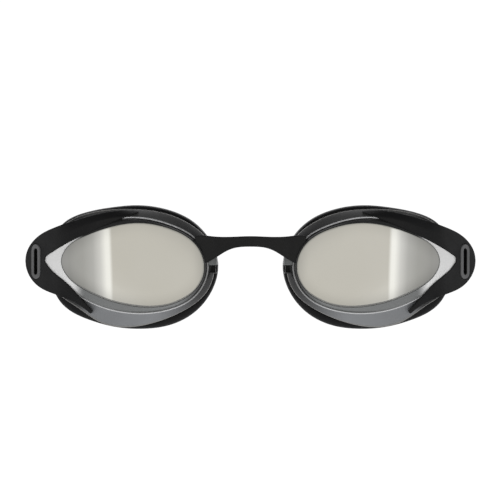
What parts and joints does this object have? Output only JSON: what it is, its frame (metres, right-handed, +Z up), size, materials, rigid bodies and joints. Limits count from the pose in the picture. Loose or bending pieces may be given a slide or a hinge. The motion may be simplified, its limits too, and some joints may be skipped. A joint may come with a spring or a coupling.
{
  "type": "swim goggles",
  "caption": "Racing swim goggles: mirrored lenses in clear cups, silicone seals, clip-in nose bridge, and a split silicone head strap with adjusters.",
  "frame": {"origin": "midway between the eyes, on the line where the nose sides of the two seals meet the face", "axes": "+Y from the goggles into the face, +Z up, +X towards the wearer's left"},
  "size_m": [0.1508, 0.1751, 0.0408],
  "materials": {
    "clear_polycarbonate": "clear, polished, faintly frosted on the inside",
    "mirror_coating": "silver mirror coating, slightly warm",
    "frame_plastic": "satin black",
    "bezel_plastic": "dark grey, satin",
    "post_plastic": "black nylon",
    "seal_silicone": "soft black silicone",
    "bridge_plastic": "soft satin black",
    "strap_silicone": "matt black silicone",
    "adjuster_plastic": "satin black nylon"
  },
  "bodies": {
    "goggle_front": {"eyecup_left": "clear_polycarbonate", "eyecup_right": "clear_polycarbonate", "mirror_lens_left": "mirror_coating", "mirror_lens_right": "mirror_coating", "temple_frame_left": "frame_plastic", "temple_frame_right": "frame_plastic", "slot_bezel_left": "bezel_plastic", "slot_bezel_right": "bezel_plastic", "strap_post_left": "post_plastic", "strap_post_right": "post_plastic", "gasket_left": "seal_silicone", "gasket_right": "seal_silicone"},
    "bridge": {"nose_bridge": "bridge_plastic"},
    "strap_yoke": {"strap_end_left": "strap_silicone", "strap_end_right": "strap_silicone", "adjuster_left": "adjuster_plastic", "adjuster_right": "adjuster_plastic", "strap_side_left": "strap_silicone", "strap_side_right": "strap_silicone", "strap_tail_left": "strap_silicone", "strap_tail_right": "strap_silicone"},
    "head_strap": {"strap_back": "strap_silicone"}
  },
  "joints": [
    {"name": "nose_bridge_release", "type": "slide", "parent": "goggle_front", "child": "bridge", "axis": [0, -1, 0], "range_m": [0, 0.01]},
    {"name": "strap_tilt", "type": "hinge", "parent": "goggle_front", "child": "strap_yoke", "pos_m": [0, -0.00089, 0.001], "axis": [1, 0, 0], "range_deg": [-15, 35], "deforming": ["strap_end_left", "strap_end_right"]},
    {"name": "strap_length", "type": "slide", "parent": "strap_yoke", "child": "head_strap", "axis": [0, 0.9988, 0.0489], "range_m": [0, 0.03], "deforming": ["strap_side_left", "strap_side_right", "strap_tail_left", "strap_tail_right"]}
  ]
}
